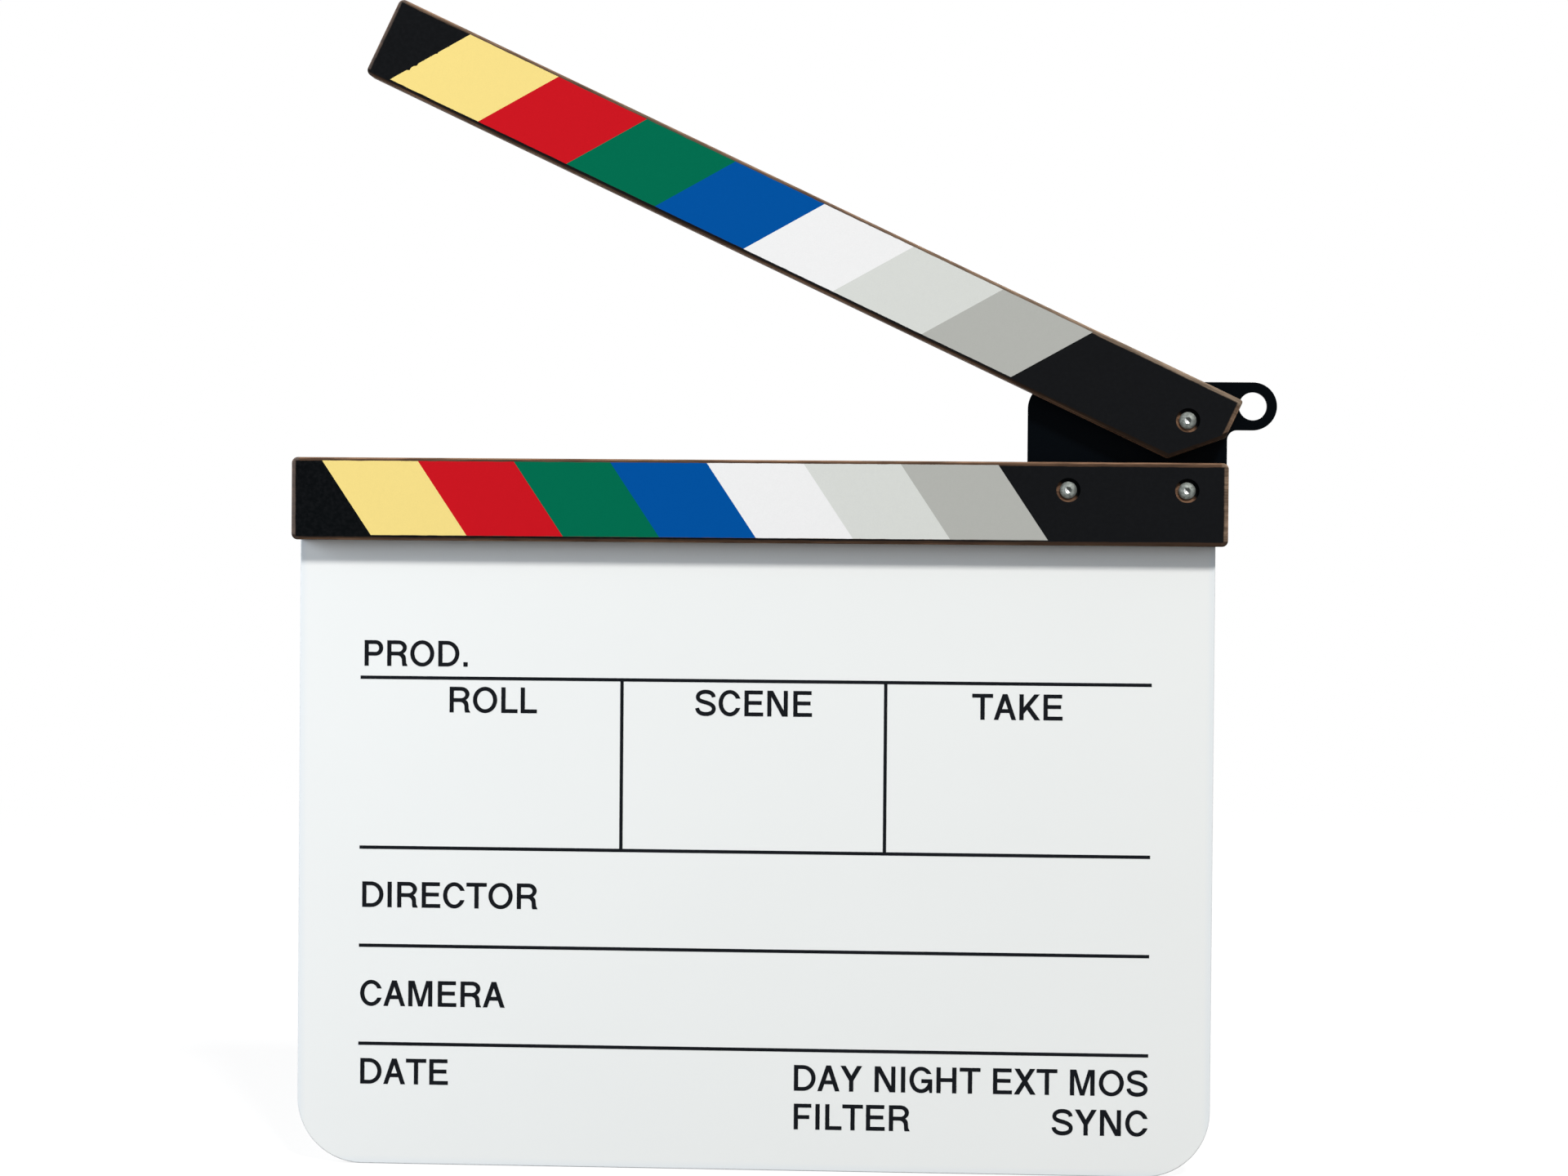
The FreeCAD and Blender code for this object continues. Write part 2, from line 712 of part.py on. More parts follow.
def make_hinge_hardware():
    lower_seat = "Place.stick_back - Place.grip_depth"
    upper_seat = "Place.upper_back - Place.grip_depth"
    nut_seat = "Place.plate_back + Size.washer_thickness"
    screws = []
    washers = []
    nuts = []
    for index in range(HINGE_SCREW_COUNT):
        x = hinge_screw_x(index)
        z = "Place.hinge_screw_z"
        screw = make_machine_screw("hinge_screw_%d" % index, "Place.hinge_stack + Size.screw_tail")
        screws.append(put_facing_front(screw, x, lower_seat, z))
        washer = make_washer("hinge_washer_%d" % index, "Place.washer_radius", "Size.washer_thickness")
        washers.append(put_facing_back(washer, x, "Place.plate_back", z))
        nuts.append(put_facing_back(make_nut("hinge_nut_%d" % index, "Size.nut_height"), x, nut_seat, z))
    group("hinge_screws", screws)
    group("hinge_washers", washers)
    group("hinge_nuts", nuts)
    x = "Place.pivot_x"
    z = "Place.pivot_z"
    screw = make_machine_screw("pivot_screw", "Place.pivot_stack + Size.screw_tail")
    keep(put_facing_front(screw, x, upper_seat, z))
    glide = make_washer("glide_washer", "Place.glide_washer_radius", "Size.glide_washer_thickness")
    keep(put_facing_back(glide, x, "Place.upper_back", z))
    washer = make_washer("pivot_washer", "Place.washer_radius", "Size.washer_thickness")
    keep(put_facing_back(washer, x, "Place.plate_back", z))
    keep(put_facing_back(make_nut("pivot_lock_nut", "Size.lock_hex_height", collar=True), x, nut_seat, z))
    insert_radius = "Place.insert_radius - Size.running_clearance"
    insert = ring("lock_nut_insert", insert_radius, "Place.pivot_hole / 2", "Size.lock_insert_height")
    keep(put_facing_back(insert, x, nut_seat + " + Place.lock_nut_height - Size.lock_insert_height", z))


# Pan-head wood screws that hold the board to the lower stick from behind

def add_cross(sketch):
    long = "Size.cross_span / 2"
    short = "Size.cross_width / 2"
    add_polygon(sketch, [
        (long, "-" + short),
        (long, short),
        (short, short),
        (short, long),
        ("-" + short, long),
        ("-" + short, short),
        ("-" + long, short),
        ("-" + long, "-" + short),
        ("-" + short, "-" + short),
        ("-" + short, "-" + long),
        (short, "-" + long),
        (short, "-" + short),
    ])


def round_head(body, crown, radius):
    top = value_of(crown)
    round_edges(body, radius, lambda e: e.Closed and abs(e.CenterOfMass.z - top) < TOLERANCE, "crown")


def make_board_screw(label):
    body = new_body(label)
    profile = new_sketch(body, "profile", "XZ_Plane")
    length = "(Size.board_thickness + Size.board_screw_grip)"
    radius = "Size.board_screw_diameter / 2"
    head = "Place.board_screw_head_radius"
    crown = "Place.board_screw_head_height"
    add_polygon(profile, [
        ("0", "-" + length),
        (radius, "Size.board_screw_point - " + length),
        (radius, "0"),
        (head, "0"),
        (head, crown),
        ("0", crown),
    ])
    revolve(body, profile)
    round_head(body, crown, "Size.board_screw_crown_radius")
    recess = new_sketch(body, "recess", "XY_Plane", crown)
    add_cross(recess)
    pocket(body, recess, "Size.cross_depth")
    return body


def make_board_screws():
    screws = []
    for index in range(BOARD_SCREW_COUNT):
        screw = make_board_screw("board_screw_%d" % index)
        back = "Size.board_thickness / 2"
        screws.append(put_facing_back(screw, board_screw_x(index), back, "Place.board_screw_z"))
    group("board_screws", screws)


# Build, check and write

def check_document():
    doc.recompute()
    failed = [obj.Name for obj in doc.Objects if {"Invalid", "Error"} & set(obj.State)]
    failed += [piece.Label for piece in pieces if piece.Shape.isNull() or not piece.Shape.isValid()]
    if failed:
        raise RuntimeError("failed objects: " + ", ".join(failed))


def write_pieces():
    os.makedirs("parts", exist_ok=True)
    for piece in pieces:
        shape = piece.Shape
        shape.exportStep(os.path.join("parts", piece.Label + ".step"))
        print("%-24s solids %d  volume %.2f mm3" % (piece.Label, len(shape.Solids), shape.Volume))


make_board()
make_rules()
make_lower_stick()
make_upper_stick()
make_patches()
make_hinge_plate()
make_hinge_hardware()
make_board_screws()
check_document()
write_pieces()
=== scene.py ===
import json
import math

import bmesh
import bpy
from mathutils import Matrix, Vector
from mathutils.geometry import interpolate_bezier, tessellate_polygon


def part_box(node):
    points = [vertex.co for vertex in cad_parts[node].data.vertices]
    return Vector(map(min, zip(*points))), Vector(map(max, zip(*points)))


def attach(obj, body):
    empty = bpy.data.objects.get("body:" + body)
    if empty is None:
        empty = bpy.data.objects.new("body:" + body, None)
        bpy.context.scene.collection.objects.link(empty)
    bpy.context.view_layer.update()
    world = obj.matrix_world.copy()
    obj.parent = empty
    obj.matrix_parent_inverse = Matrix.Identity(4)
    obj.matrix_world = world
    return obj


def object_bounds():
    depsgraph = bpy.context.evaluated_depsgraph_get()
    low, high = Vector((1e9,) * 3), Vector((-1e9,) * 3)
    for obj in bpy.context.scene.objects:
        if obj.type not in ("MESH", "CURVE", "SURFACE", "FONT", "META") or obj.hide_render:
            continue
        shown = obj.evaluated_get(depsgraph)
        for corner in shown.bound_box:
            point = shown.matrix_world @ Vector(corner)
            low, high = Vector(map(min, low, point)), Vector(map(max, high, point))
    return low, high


# Looks of a film clapperboard: finishes, printed labels, stage, light and camera.
# X runs along the board towards the hinge, Y from the front to the back and Z up. Lengths are in metres.

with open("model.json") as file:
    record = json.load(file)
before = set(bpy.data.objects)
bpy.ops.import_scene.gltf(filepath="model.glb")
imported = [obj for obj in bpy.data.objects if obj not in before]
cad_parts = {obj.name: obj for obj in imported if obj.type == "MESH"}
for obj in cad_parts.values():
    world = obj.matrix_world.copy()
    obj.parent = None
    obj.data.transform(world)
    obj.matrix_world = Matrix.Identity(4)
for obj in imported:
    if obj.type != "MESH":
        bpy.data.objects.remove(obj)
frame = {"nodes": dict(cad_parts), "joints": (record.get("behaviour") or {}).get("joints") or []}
cad_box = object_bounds()
nodes = frame["nodes"]
hinge = frame["joints"][0]
pivot = Vector(hinge["pos_m"])
closing_turn = math.radians(hinge["range_deg"][0])

MM = 0.001

# Camera, from the vanishing lines of the photographed board and sticks
CAMERA_PLACE = (0.0690, -1.1000, 0.2074)
CAMERA_YAW = math.radians(-3.09)
CAMERA_PITCH = math.radians(-0.846)
CAMERA_ROLL = math.radians(0.461)
FOCAL_PIXELS = 4117.7
PHOTO_WIDTH = 1920
FOCAL_SHARE = FOCAL_PIXELS / PHOTO_WIDTH
SENSOR_WIDTH = 36.0

# Light: a key from above and to the right, a soft bluish fill from the left, a soft lamp behind and a
# pale studio all round. A lamp's strength is what it throws on a surface that faces it at the middle of the
# board. The front of the studio dims over the rise and gives way to its back over the turn, in directions
# of length one.
KEY_PLACE = (1.09, -3.00, 2.81)
KEY_WIDTH = 0.62
KEY_STRENGTH = 2.72
KEY_COLOUR = (1.0, 0.976, 0.95)
FILL_PLACE = (-0.75, -0.42, 0.38)
FILL_WIDTH = 0.5
FILL_STRENGTH = 1.14
FILL_COLOUR = (0.92, 1.0, 1.12)
BACK_PLACE = (0.6, 3.0, 0.9)
BACK_WIDTH = 1.0
BACK_STRENGTH = 1.4
BACK_COLOUR = (1.0, 1.0, 1.0)
ROOM_LOW = (0.64, 0.68, 0.72, 1)
ROOM_HIGH = (0.15, 0.16, 0.17, 1)
ROOM_BACK = (0.9, 0.9, 0.9, 1)
ROOM_RISE = (0.1, 0.5)
ROOM_TURN = (-0.35, 0.3)
WHITE = (1, 1, 1, 1)

# The floor is pale where it is seen and throws little light back up. Its glow grows to white over the fade,
# in metres from the origin.
FLOOR_SIZE = 8.0
FLOOR_PALE = (0.97, 0.97, 0.97, 1)
FLOOR_BOUNCE = (0.09, 0.09, 0.09, 1)
FLOOR_GLOW = 0.82
FLOOR_FADE = (0.4, 1.6)

# Colours, linear
PATCH_COLOURS = {
    "yellow": (0.832, 0.654, 0.218),
    "red": (0.533, 0.0070, 0.0130),
    "green": (0.0002, 0.135, 0.067),
    "blue": (0.0002, 0.075, 0.313),
    "white": (0.813, 0.809, 0.801),
    "light_grey": (0.637, 0.651, 0.615),
    "mid_grey": (0.421, 0.425, 0.394),
}
BOARD_WHITE = (0.832, 0.848, 0.832)
# bluish painted shade along the board's outline
BOARD_RIM_SHADE = (0.76, 0.80, 0.82)
BOARD_EDGE = (0.60, 0.66, 0.68)
INK_BLACK = (0.005, 0.006, 0.008)
PAINT_BLACK = (0.0008, 0.0014, 0.0019)
PAINT_WORN = (0.0052, 0.0056, 0.0064)
PLATE_BLACK = (0.0006, 0.0014, 0.0024)
WOOD_PALE = (0.335, 0.192, 0.115)
WOOD_DARK = (0.094, 0.054, 0.035)
WOOD_BLEACHED = (0.30, 0.228, 0.165)
WOOD_DUSTY = (0.125, 0.112, 0.106)
ZINC = (0.22, 0.24, 0.225)
# painted highlight at the lower left of the screw sockets
SOCKET_PAINTED_HIGHLIGHT = (0.80, 0.82, 0.82)
NYLON = (0.74, 0.73, 0.69)

# Most of a noise's values lie in this span
NOISE_SPAN = (0.3, 0.7)

# Sockets of the Mix node that carry colours
MIX_FIRST = 6
MIX_SECOND = 7
MIX_RESULT = 2


def shade(colour, factor=1.0):
    return (*[channel * factor for channel in colour], 1)


# Building node trees

class Nodes:
    """A node tree in the making, with short calls to add its nodes and join them."""

    def __init__(self, tree):
        self.tree = tree

    def feed(self, socket, value):
        if isinstance(value, bpy.types.NodeSocket):
            self.tree.links.new(value, socket)
        else:
            socket.default_value = value

    def add(self, kind, inputs, **settings):
        node = self.tree.nodes.new("ShaderNode" + kind)
        for name, value in settings.items():
            setattr(node, name, value)
        for key, value in inputs.items():
            self.feed(node.inputs[key], value)
        return node

    def maths(self, operation, first, second=0.0):
        return self.add("Math", {0: first, 1: second}, operation=operation).outputs[0]

    def ramp(self, value, low, high, start=0.0, end=1.0):
        """Carry low to high smoothly onto start to end, and hold it there."""
        inputs = {"Value": value, "From Min": low, "From Max": high, "To Min": start, "To Max": end}
        return self.add("MapRange", inputs, interpolation_type="SMOOTHSTEP").outputs["Result"]

    def blend(self, share, first, second):
        node = self.add("Mix", {0: share, MIX_FIRST: first, MIX_SECOND: second}, data_type="RGBA")
        return node.outputs[MIX_RESULT]

    def split(self, place):
        return self.add("SeparateXYZ", {"Vector": place}).outputs

    def seen_directly(self):
        """One for camera, glossy and transmission rays, which show the white background."""
        path = self.add("LightPath", {}).outputs
        mirrored = self.maths("MAXIMUM", path["Is Glossy Ray"], path["Is Transmission Ray"])
        return self.maths("MAXIMUM", path["Is Camera Ray"], mirrored)


class Finish(Nodes):
    """A material in the making."""

    def __init__(self, name, **constants):
        self.material = bpy.data.materials.new(name)
        self.material.use_nodes = True
        super().__init__(self.material.node_tree)
        self.surface = self.tree.nodes["Principled BSDF"]
        for socket, value in constants.items():
            self.surface.inputs[socket.replace("_", " ")].default_value = value
        self.place = self.add("TexCoord", {}).outputs["Object"]

    def stretch(self, place, factors):
        return self.add("VectorMath", {0: place, 1: factors}, operation="MULTIPLY").outputs[0]

    def noise(self, place, size, detail=2.0, roughness=0.5):
        inputs = {"Vector": place, "Scale": 1 / size, "Detail": detail, "Roughness": roughness}
        return self.add("TexNoise", inputs).outputs["Fac"]

    def uneven(self, noise, least, most):
        """Carry a noise smoothly onto least to most."""
        return self.ramp(noise, *NOISE_SPAN, least, most)

    def shades(self, share, colour, darkest, palest):
        """The colour between its darkest and its palest shade."""
        return self.blend(share, shade(colour, darkest), shade(colour, palest))

    def turned(self, turn):
        """The place after a turn about the hinge."""
        inputs = {"Vector": self.place, "Center": pivot, "Axis": (0, 1, 0), "Angle": turn}
        return self.add("VectorRotate", inputs, rotation_type="AXIS_ANGLE").outputs["Vector"]

    def inset(self, value, centre, reach):
        """How far inside an outline a point lies along one axis."""
        return self.maths("SUBTRACT", reach, self.maths("ABSOLUTE", self.maths("SUBTRACT", value, centre)))

    def past_line(self, place, start, direction):
        """How far a place lies from a line's start along a direction."""
        along = self.add("VectorMath", {0: place, 1: direction}, operation="DOT_PRODUCT").outputs["Value"]
        return self.maths("SUBTRACT", along, start.dot(direction))

    def from_axis(self, axis):
        """How far a place lies across, up and in all from a screw's axis."""
        place = self.split(self.place)
        across = self.maths("SUBTRACT", place["X"], axis[0])
        up = self.maths("SUBTRACT", place["Z"], axis[1])
        squares = self.maths("ADD", self.maths("MULTIPLY", across, across), self.maths("MULTIPLY", up, up))
        return across, up, self.maths("SQRT", squares)

    def colour(self, value):
        self.feed(self.surface.inputs["Base Color"], value)

    def roughness(self, value):
        self.feed(self.surface.inputs["Roughness"], value)

    def bump(self, height, depth, strength):
        """Raise the surface by this height map, which spans the depth in metres."""
        inputs = {"Strength": strength, "Distance": depth, "Height": height}
        self.feed(self.surface.inputs["Normal"], self.add("Bump", inputs).outputs["Normal"])


def turned_corners(node, turn):
    """The node's vertices after a turn about the hinge."""
    spin = Matrix.Rotation(turn, 3, "Y")
    return [spin @ (vertex.co - pivot) + pivot for vertex in nodes[node].data.vertices]


def box_of(corners):
    low = Vector([min(corner[i] for corner in corners) for i in range(3)])
    high = Vector([max(corner[i] for corner in corners) for i in range(3)])
    return low, high


def hinge_screw_axes():
    """Where the axes of the lower stick's two screws are, across and up."""
    low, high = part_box("hinge_screws")
    radius = (high.z - low.z) / 2
    level = low.z + radius
    return [(low.x + radius, level), (high.x - radius, level)]


# How the two sticks differ in their wear and in the light and shade painted on them
LOWER = {
    "turn": 0.0,  # lays the stick as it lies when closed
    "has_heel": False,
    "screws": hinge_screw_axes(),  # axes of the screws sunk into it
    "end_wear": 0.25 * MM,  # how much wider the bare band is at the free end
    "foot_wear": -0.15 * MM,  # how much wider it is along the foot
    "foot_painted_shade": 0.85,  # how much painted shade darkens the wood along the foot
    "stain_and_shade": 0.3,  # how bright the stain and the painted shade along the foot are
    "bleach": 0.0,  # how bleached the head is at the hinge
    "end_bleach": 0.4,  # how bleached the end at the hinge is
    "dust": 0.8,  # how bright the dusty free end is
    "fade": 0.0,  # how worn the black is at the free end
    "rubbed_foot_lighting": 1.6,  # how bright the wood is where the patches are rubbed off along the foot, as painted light and shade
}
UPPER = {
    "turn": closing_turn,
    "has_heel": True,
    "screws": [(pivot.x, pivot.z)],
    "end_wear": 0.0,
    "foot_wear": -0.25 * MM,
    "foot_painted_shade": 0.97,
    "stain_and_shade": 0.08,
    "bleach": 0.75,
    "end_bleach": 0.2,
    "dust": 0.6,
    "fade": 0.7,
    "rubbed_foot_lighting": 0.3,
}


# Board: gloss white acrylic, with the haze and wipe marks of a dry-wipe surface and bluish sawn edges

WIPE_STRETCH = (1, 1, 7)
# the bluish painted shade along the board's outline reaches this far in
RIM_REACH = 3 * MM
RIM_SHARE = 0.8
SAWN_FACING = (0.3, 0.8)  # a surface turned this little to the front is sawn, and this much is polished


def acrylic_finish():
    low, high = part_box("slate_board")
    middle = (low + high) / 2
    half = (high - low) / 2
    finish = Finish("board_acrylic", Specular_IOR_Level=0.5)
    place = finish.split(finish.place)
    haze = finish.noise(finish.place, size=60 * MM, detail=3)
    wipes = finish.noise(finish.stretch(finish.place, WIPE_STRETCH), size=30 * MM, detail=4)
    speckle = finish.noise(finish.place, size=0.6 * MM)
    rim = finish.maths("MINIMUM", finish.inset(place["X"], middle.x, half.x),
                       finish.inset(place["Z"], middle.z, half.z))
    white = finish.shades(haze, BOARD_WHITE, darkest=0.985, palest=1.01)
    # Painted shade: a darker bluish band along the outline, where light passes through the acrylic's edges
    white = finish.blend(finish.ramp(rim, 0.0, RIM_REACH, RIM_SHARE, 0.0), white, shade(BOARD_RIM_SHADE))
    facing = finish.split(finish.add("NewGeometry", {}).outputs["Normal"])["Y"]
    sawn = finish.ramp(finish.maths("ABSOLUTE", facing), *SAWN_FACING, 1.0, 0.0)
    finish.colour(finish.blend(sawn, white, shade(BOARD_EDGE)))
    finish.roughness(finish.uneven(wipes, least=0.13, most=0.24))
    finish.bump(speckle, depth=0.004 * MM, strength=0.3)
    return finish.material


# Ink of the ruled lines and labels

def ink_finish():
    finish = Finish("board_ink", Specular_IOR_Level=0.05)
    grain = finish.noise(finish.place, size=0.5 * MM, detail=3)
    finish.colour(finish.shades(grain, INK_BLACK, darkest=0.6, palest=1.6))
    finish.roughness(finish.uneven(grain, least=0.35, most=0.5))
    return finish.material


# Sticks: black on their flat faces, with brown wood where the edges are sanded and in the counterbores

# the sanded band is wider at the hinge
BAND_NARROW = 1.2 * MM
BAND_WIDE = 1.5 * MM
BAND_WANDER = 0.35 * MM
BAND_SOFTNESS = 0.07 * MM
PAINT_DEPTH = 0.35 * MM

# plies and their grain
PLY = 1.8 * MM
GRAIN_STRETCH = (1, 14, 14)
FIBRE_STRETCH = (1, 25, 25)
FIBRE_SHARE = 0.35
STREAK_SPAN = (0.48, 0.89)
CROSS_SHARE = 0.4
CROSS_SHADE = 0.8
JOINT_SPAN = (0.42, 0.48)  # in plies from the middle of one
JOINT_SHARE = 0.7
JOINT_SHADE = 0.4

# bleached and dusty ends
BLEACH_START = 2.5 * MM
BLEACH_FULL = 2 * MM
BLEACH_FAR = 0.25  # how much of the bleaching is left at the middle of the stick
DUST_FULL = 2 * MM
DUST_REACH = 3 * MM
DUST_SHARE = 0.6

# stains, painted shade along the foot and painted shadow in the screw holes
STAIN_REACH = 0.4 * MM
STAIN_DEPTH = 1.8 * MM
BESIDE_SHARE = 0.6
FOOT_SHADE_SPAN = (0.1 * MM, 1.0 * MM)  # above the foot, over which the painted shade grows to full
FOOT_SHADE_KEPT = (0.15, 0.88)  # how much of the painted shade the foot's lowest edge keeps, at the middle and at the hinge
SINK_REACH = 4.2 * MM
SINK_SOFTNESS = 0.1 * MM
SINK_LEAN = 0.9  # the painted shadow in a screw hole lies on its upper side, turned this much to the right
SINK_SPAN = (-1.5 * MM, 1.0 * MM)

# scuffs of the black paint
SCUFF_SPAN = (0.35, 0.75)
SCUFF_SHARE = 0.45
SCUFF_SHADE = 1.4
MOTTLE_RELIEF = 0.5


class StickFinish(Finish):
    """The finish of one stick, laid out on the stick as it lies when the sticks are closed."""

    def __init__(self, node, stick):
        super().__init__(node + "_paint", Specular_IOR_Level=0.03)
        self.stick = stick
        self.low, self.high = box_of(turned_corners(node, stick["turn"]))
        self.middle = (self.low + self.high) / 2
        self.half = (self.high - self.low) / 2
        self.lying = self.turned(stick["turn"])
        self.x, self.y, self.z = self.split(self.lying)
        self.depth = self.maths("ABSOLUTE", self.maths("SUBTRACT", self.y, self.middle.y))
        self.fibre = self.noise(self.stretch(self.lying, FIBRE_STRETCH), size=5 * MM)
        self.mottle = self.noise(self.lying, size=1.2 * MM, detail=3)

    def towards_hinge(self, start, end):
        """Carry the outer half of the stick, from its middle to the hinge, onto start to end."""
        return self.ramp(self.x, self.middle.x, self.high.x, start, end)

    def edge_and_foot(self):
        """How far a place lies inside the band's own outline, and how far above the foot."""
        end_shift = self.stick["end_wear"] / 2
        foot_shift = self.stick["foot_wear"] / 2
        edge = self.maths("MINIMUM", self.inset(self.x, self.middle.x + end_shift, self.half.x - end_shift),
                          self.inset(self.z, self.middle.z + foot_shift, self.half.z - foot_shift))
        foot = self.maths("SUBTRACT", self.z, self.low.z)
        if self.stick["has_heel"]:
            along = self.maths("SUBTRACT", self.high.x, self.x)
            up = self.maths("SUBTRACT", self.z, pivot.z)
            heel = self.maths("MULTIPLY", self.maths("ADD", along, up), math.sqrt(0.5))
            edge = self.maths("MINIMUM", edge, self.maths("SUBTRACT", heel, self.stick["foot_wear"]))
            foot = self.maths("MINIMUM", foot, heel)
        return edge, foot

    def past_band(self, edge):
        """How far a place lies past the sanded band, which grows towards the hinge and wanders."""
        wander = self.noise(self.lying, size=7 * MM, detail=5, roughness=0.7)
        wander = self.maths("MULTIPLY", self.maths("SUBTRACT", wander, 0.5), 2 * BAND_WANDER)
        width = self.maths("ADD", self.towards_hinge(BAND_NARROW, BAND_WIDE), wander)
        return self.maths("SUBTRACT", edge, width)

    def painted(self, past_band):
        on_face = self.ramp(past_band, -BAND_SOFTNESS, BAND_SOFTNESS)
        outermost = self.ramp(self.depth, self.half.y - PAINT_DEPTH, self.half.y - PAINT_DEPTH / 2)
        return self.maths("MULTIPLY", on_face, outermost)

    def streaks(self):
        grain = self.noise(self.stretch(self.lying, GRAIN_STRETCH), size=16 * MM, detail=5, roughness=0.6)
        both = self.maths("ADD", grain, self.maths("MULTIPLY", self.fibre, FIBRE_SHARE))
        return self.ramp(both, *STREAK_SPAN)

    def plywood(self, streaks):
        """Plies with dark joints, whose grain runs along the stick in every second one."""
        layer = self.maths("DIVIDE", self.maths("SUBTRACT", self.y, self.low.y), PLY)
        joint = self.maths("ABSOLUTE", self.maths("SUBTRACT", self.maths("FRACT", layer), 0.5))
        crosswise = self.maths("MODULO", self.maths("FLOOR", layer), 2.0)
        wood = self.blend(streaks, shade(WOOD_DARK), shade(WOOD_PALE))
        wood = self.blend(self.maths("MULTIPLY", crosswise, CROSS_SHARE), wood, shade(WOOD_DARK, CROSS_SHADE))
        dark = self.ramp(joint, *JOINT_SPAN, 0.0, JOINT_SHARE)
        return self.blend(dark, wood, shade(WOOD_DARK, JOINT_SHADE))

    def bleached(self, wood, streaks):
        """The head is bleached most near the hinge, and so is the end there."""
        head = self.ramp(self.z, self.high.z - BLEACH_START, self.high.z - BLEACH_FULL)
        bleach = self.stick["bleach"]
        along_head = self.maths("MULTIPLY", head, self.towards_hinge(bleach * BLEACH_FAR, bleach))
        at_end = self.ramp(self.x, self.high.x - BLEACH_START, self.high.x - BLEACH_FULL,
                           0.0, self.stick["end_bleach"])
        pale = self.shades(streaks, WOOD_BLEACHED, darkest=0.45, palest=1.2)
        return self.blend(self.maths("MAXIMUM", along_head, at_end), wood, pale)

    def dusty(self, wood):
        """The free end is dusty."""
        dust = self.ramp(self.x, self.low.x + DUST_FULL, self.low.x + DUST_REACH, DUST_SHARE, 0.0)
        return self.blend(dust, wood, shade(WOOD_DUSTY, self.stick["dust"]))

    def stained_and_shaded(self, wood, past_band, foot):
        """Black has soaked in beside the painted face. Painted shade darkens the foot, painted shadow the
        screw holes.
        """
        near_face = self.ramp(self.depth, self.half.y - STAIN_DEPTH, self.half.y - PAINT_DEPTH)
        beside = self.ramp(past_band, -STAIN_REACH, 0.0, 0.0, BESIDE_SHARE)
        # Painted shade: the wood along the foot is darkened, least at its lowest edge away from the hinge.
        foot_shade = self.ramp(foot, BAND_WIDE, BAND_WIDE + BAND_WANDER, self.stick["foot_painted_shade"], 0.0)
        shade_kept = self.ramp(foot, *FOOT_SHADE_SPAN, self.towards_hinge(*FOOT_SHADE_KEPT), 1.0)
        foot_shade = self.maths("MULTIPLY", foot_shade, shade_kept)
        stain_and_shade = self.maths("MULTIPLY", near_face, self.maths("MAXIMUM", beside, foot_shade))
        wood = self.blend(stain_and_shade, wood, shade(WOOD_DARK, self.stick["stain_and_shade"]))
        # Painted shadow: the upper side of each screw hole is painted black.
        return self.blend(self.sink_shadow(), wood, shade(PAINT_BLACK))

    def sink_shadow(self):
        """How deep a place lies in the painted shadow on the upper side of the holes that the screw heads are
        sunk in.
        """
        shadowed = 0.0
        for axis in self.stick["screws"]:
            across, up, distance = self.from_axis(axis)
            aside = self.maths("ADD", self.maths("MULTIPLY", across, SINK_LEAN), up)
            inside = self.ramp(distance, SINK_REACH, SINK_REACH + SINK_SOFTNESS, 1.0, 0.0)
            share = self.maths("MULTIPLY", inside, self.ramp(aside, *SINK_SPAN))
            shadowed = self.maths("MAXIMUM", shadowed, share)
        return shadowed

    def paint(self):
        """The black is more worn near the hinge, and scuffed all over."""
        faded = self.ramp(self.x, self.low.x, self.high.x, self.stick["fade"], 1.0)
        paint = self.blend(faded, shade(PAINT_BLACK), shade(PAINT_WORN))
        scuffs = self.ramp(self.mottle, *SCUFF_SPAN, 0.0, SCUFF_SHARE)
        return self.blend(scuffs, paint, shade(PAINT_WORN, SCUFF_SHADE))


def stick_finish(node, stick):
    finish = StickFinish(node, stick)
    edge, foot = finish.edge_and_foot()
    past_band = finish.past_band(edge)
    streaks = finish.streaks()
    wood = finish.bleached(finish.plywood(streaks), streaks)
    wood = finish.stained_and_shaded(finish.dusty(wood), past_band, foot)
    finish.colour(finish.blend(finish.painted(past_band), wood, finish.paint()))
    finish.roughness(finish.uneven(finish.mottle, least=0.46, most=0.6))
    relief = finish.maths("ADD", finish.fibre, finish.maths("MULTIPLY", finish.mottle, MOTTLE_RELIEF))
    finish.bump(relief, depth=0.03 * MM, strength=0.35)
    return finish.material


# Colour patches: matt film with a fine grain, worn to the wood along the stick's edges. The slanted left edge
# of the upper yellow one is torn. Each tear has its place along that edge as a share, its half width and its
# depth.

TEARS = [(0.238, 0.95 * MM, 0.48 * MM), (0.328, 0.95 * MM, 0.42 * MM), (0.587, 0.6 * MM, 0.25 * MM),
         (0.735, 0.4 * MM, 0.15 * MM)]
TEAR_WANDER = 0.25 * MM
TEAR_SOFTNESS = 0.05 * MM
WEAR_STRETCH = (1, 1, 0)
WEAR_SPAN = (0.35, 0.75)
WEAR_REACH = 0.13 * MM
WEAR_SOFTNESS = 0.09 * MM
HEAD_RUBBED_LIGHTING = 1.3  # how bright the wood is where the patches are rubbed off along the head, as painted light
GRAIN_SHARE = 0.5


